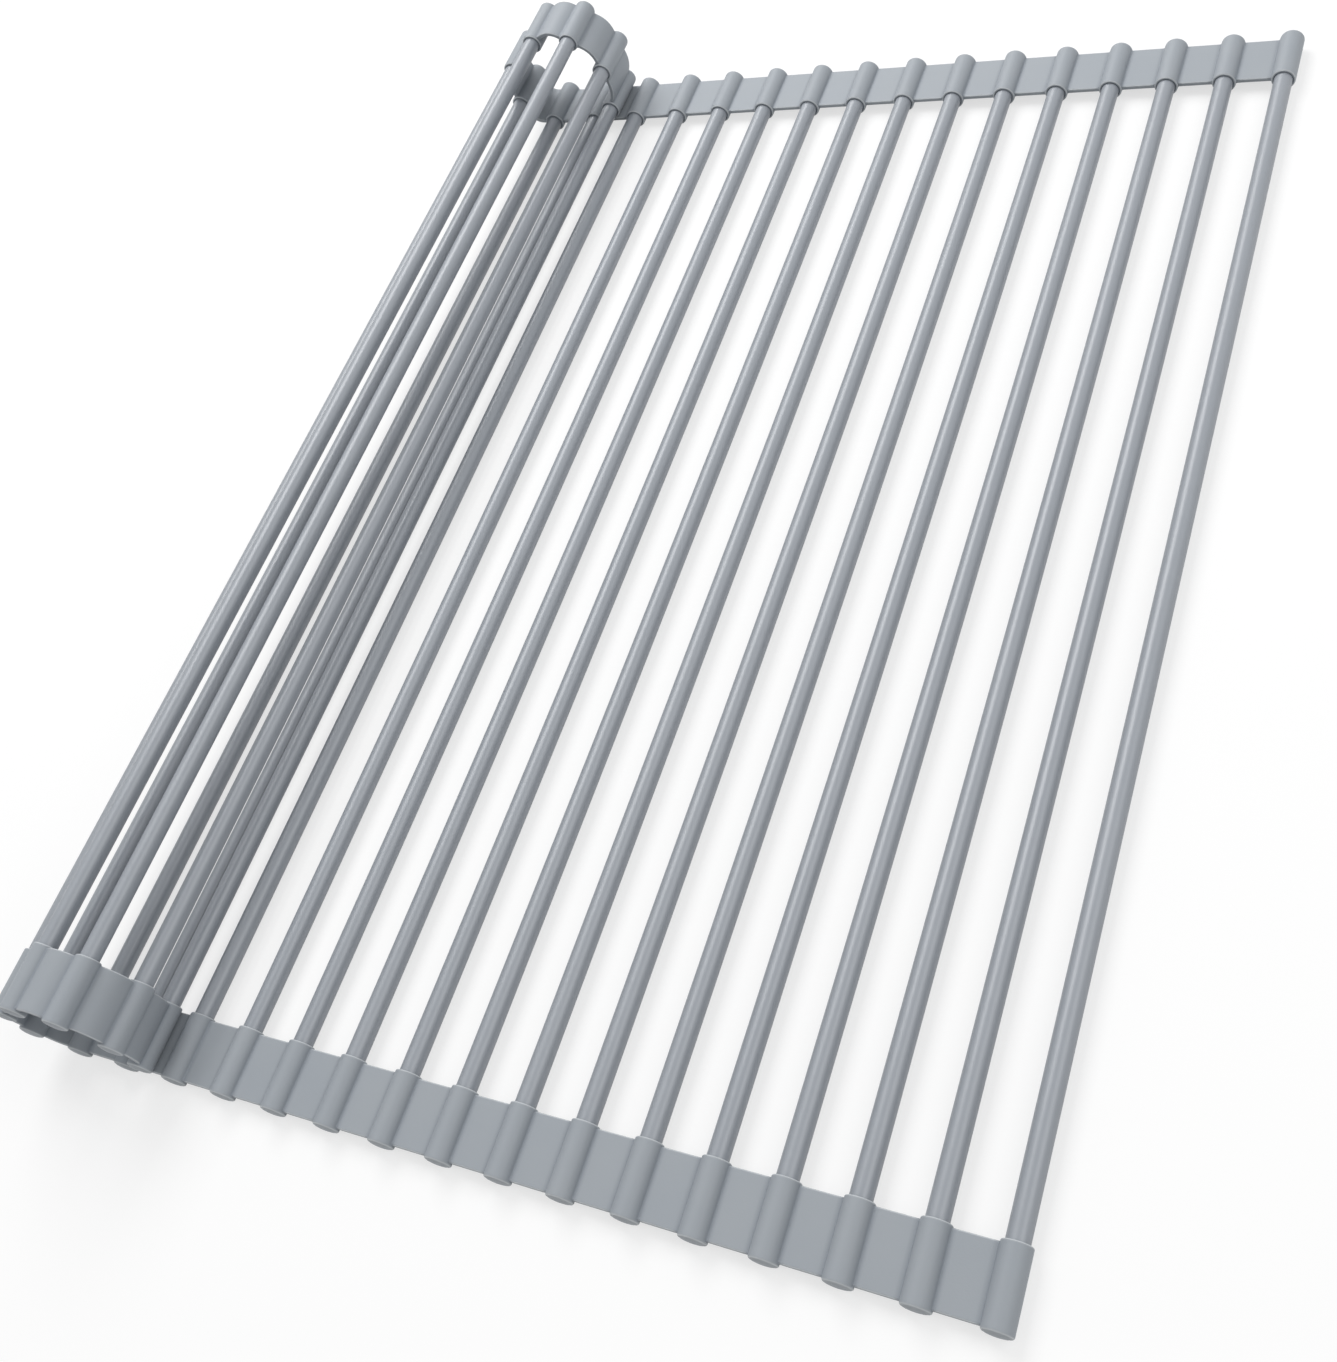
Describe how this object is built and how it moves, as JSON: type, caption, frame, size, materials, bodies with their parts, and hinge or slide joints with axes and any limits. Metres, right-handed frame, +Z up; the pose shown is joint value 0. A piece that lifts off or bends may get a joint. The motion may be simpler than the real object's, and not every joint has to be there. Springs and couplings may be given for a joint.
{
  "type": "roll-up dish drying rack",
  "caption": "Roll-up dish drying rack of coated rods held in flexible side strips, lying flat with its end curled over.",
  "frame": {"origin": "centre of the box's base, on the surface the rack lies on", "axes": "+Y along the rods, towards the far strip; +X along the strips, towards the flat free end, with the curl at -X; +Z up"},
  "size_m": [0.3048, 0.4276, 0.0472],
  "materials": {
    "strip_silicone": "matte moulded silicone, mid grey",
    "rod_coating": "satin silicone coating over steel tube, blue grey"
  },
  "bodies": {
    "segment_01": {"rod_01": "rod_coating", "rod_02": "rod_coating", "near_strip_link_01": "strip_silicone", "far_strip_link_01": "strip_silicone"},
    "segment_02": {"rod_03": "rod_coating", "rod_04": "rod_coating", "near_strip_link_02": "strip_silicone", "far_strip_link_02": "strip_silicone"},
    "segment_03": {"rod_05": "rod_coating", "near_strip_link_03": "strip_silicone", "far_strip_link_03": "strip_silicone"},
    "segment_04": {"rod_06": "rod_coating", "near_strip_link_04": "strip_silicone", "far_strip_link_04": "strip_silicone"},
    "segment_05": {"rod_07": "rod_coating", "near_strip_link_05": "strip_silicone", "far_strip_link_05": "strip_silicone"},
    "segment_06": {"rod_08": "rod_coating", "near_strip_link_06": "strip_silicone", "far_strip_link_06": "strip_silicone"},
    "segment_07": {"rod_09": "rod_coating", "near_strip_link_07": "strip_silicone", "far_strip_link_07": "strip_silicone"},
    "segment_08": {"rod_10": "rod_coating", "near_strip_link_08": "strip_silicone", "far_strip_link_08": "strip_silicone"},
    "segment_09": {"rod_11": "rod_coating", "near_strip_link_09": "strip_silicone", "far_strip_link_09": "strip_silicone"},
    "segment_10": {"rod_12": "rod_coating", "near_strip_link_10": "strip_silicone", "far_strip_link_10": "strip_silicone"},
    "segment_11": {"rod_13": "rod_coating", "near_strip_link_11": "strip_silicone", "far_strip_link_11": "strip_silicone"},
    "segment_12": {"rod_14": "rod_coating", "rod_15": "rod_coating", "near_strip_link_12": "strip_silicone", "far_strip_link_12": "strip_silicone"},
    "segment_13": {"rod_16": "rod_coating", "near_strip_link_13": "strip_silicone", "far_strip_link_13": "strip_silicone"},
    "segment_14": {"rod_17": "rod_coating", "near_strip_link_14": "strip_silicone", "far_strip_link_14": "strip_silicone"},
    "segment_15": {"rod_18": "rod_coating", "near_strip_link_15": "strip_silicone", "far_strip_link_15": "strip_silicone"},
    "segment_16": {"rod_19": "rod_coating", "near_strip_link_16": "strip_silicone", "far_strip_link_16": "strip_silicone"},
    "segment_17": {"rod_20": "rod_coating", "near_strip_link_17": "strip_silicone", "far_strip_link_17": "strip_silicone"},
    "segment_18": {"rod_21": "rod_coating", "near_strip_link_18": "strip_silicone", "far_strip_link_18": "strip_silicone"},
    "segment_19": {"rod_22": "rod_coating", "near_strip_link_19": "strip_silicone", "far_strip_link_19": "strip_silicone"}
  },
  "joints": [
    {"name": "web_hinge_02", "type": "hinge", "parent": "segment_01", "child": "segment_02", "pos_m": [0.11987, 0, 0.00395], "axis": [0, 1, 0], "range_deg": [0, 44]},
    {"name": "web_hinge_03", "type": "hinge", "parent": "segment_02", "child": "segment_03", "pos_m": [0.08187, 0, 0.00395], "axis": [0, 1, 0], "range_deg": [0, 44]},
    {"name": "web_hinge_04", "type": "hinge", "parent": "segment_03", "child": "segment_04", "pos_m": [0.06287, 0, 0.00395], "axis": [0, 1, 0], "range_deg": [0, 40]},
    {"name": "web_hinge_05", "type": "hinge", "parent": "segment_04", "child": "segment_05", "pos_m": [0.04387, 0, 0.00395], "axis": [0, 1, 0], "range_deg": [0, 34]},
    {"name": "web_hinge_06", "type": "hinge", "parent": "segment_05", "child": "segment_06", "pos_m": [0.02487, 0, 0.00395], "axis": [0, 1, 0], "range_deg": [0, 8]},
    {"name": "web_hinge_07", "type": "hinge", "parent": "segment_06", "child": "segment_07", "pos_m": [0.00587, 0, 0.00395], "axis": [0, 1, 0], "range_deg": [0, 34]},
    {"name": "web_hinge_08", "type": "hinge", "parent": "segment_07", "child": "segment_08", "pos_m": [-0.01313, 0, 0.00395], "axis": [0, 1, 0], "range_deg": [0, 12]},
    {"name": "web_hinge_09", "type": "hinge", "parent": "segment_08", "child": "segment_09", "pos_m": [-0.03213, 0, 0.00395], "axis": [0, 1, 0], "range_deg": [0, 38]},
    {"name": "web_hinge_10", "type": "hinge", "parent": "segment_09", "child": "segment_10", "pos_m": [-0.05113, 0, 0.00395], "axis": [0, 1, 0], "range_deg": [0, 40]},
    {"name": "web_hinge_11", "type": "hinge", "parent": "segment_10", "child": "segment_11", "pos_m": [-0.07013, 0, 0.00395], "axis": [0, 1, 0], "range_deg": [0, 40]},
    {"name": "web_hinge_12", "type": "hinge", "parent": "segment_11", "child": "segment_12", "pos_m": [-0.08913, 0, 0.00395], "axis": [0, 1, 0], "range_deg": [0, 56]},
    {"name": "web_hinge_13", "type": "hinge", "parent": "segment_12", "child": "segment_13", "pos_m": [-0.12713, 0, 0.00395], "axis": [0, 1, 0], "range_deg": [-4, 0]},
    {"name": "web_hinge_14", "type": "hinge", "parent": "segment_13", "child": "segment_14", "pos_m": [-0.14608, 0, 0.00527], "axis": [0, 1, 0], "range_deg": [-72, 0]},
    {"name": "web_hinge_15", "type": "hinge", "parent": "segment_14", "child": "segment_15", "pos_m": [-0.15068, 0, 0.02371], "axis": [0, 1, 0], "range_deg": [-55, 0]},
    {"name": "web_hinge_16", "type": "hinge", "parent": "segment_15", "child": "segment_16", "pos_m": [-0.13822, 0, 0.03805], "axis": [0, 1, 0], "range_deg": [-21, 0]},
    {"name": "web_hinge_17", "type": "hinge", "parent": "segment_16", "child": "segment_17", "pos_m": [-0.12144, 0, 0.04697], "axis": [0, 1, 0], "range_deg": [-62, 0]},
    {"name": "web_hinge_18", "type": "hinge", "parent": "segment_17", "child": "segment_18", "pos_m": [-0.10569, 0, 0.03634], "axis": [0, 1, 0], "range_deg": [-49.98, 0]},
    {"name": "web_hinge_19", "type": "hinge", "parent": "segment_18", "child": "segment_19", "pos_m": [-0.10369, 0, 0.01745], "axis": [0, 1, 0], "range_deg": [-33.86, 0]}
  ],
  "couplings": [
    {"joint": "web_hinge_13", "follows": "web_hinge_14", "ratio": 0.055556},
    {"joint": "web_hinge_15", "follows": "web_hinge_14", "ratio": 0.76389},
    {"joint": "web_hinge_16", "follows": "web_hinge_14", "ratio": 0.29167},
    {"joint": "web_hinge_17", "follows": "web_hinge_14", "ratio": 0.86111},
    {"joint": "web_hinge_18", "follows": "web_hinge_14", "ratio": 0.69413},
    {"joint": "web_hinge_19", "follows": "web_hinge_14", "ratio": 0.47028}
  ]
}
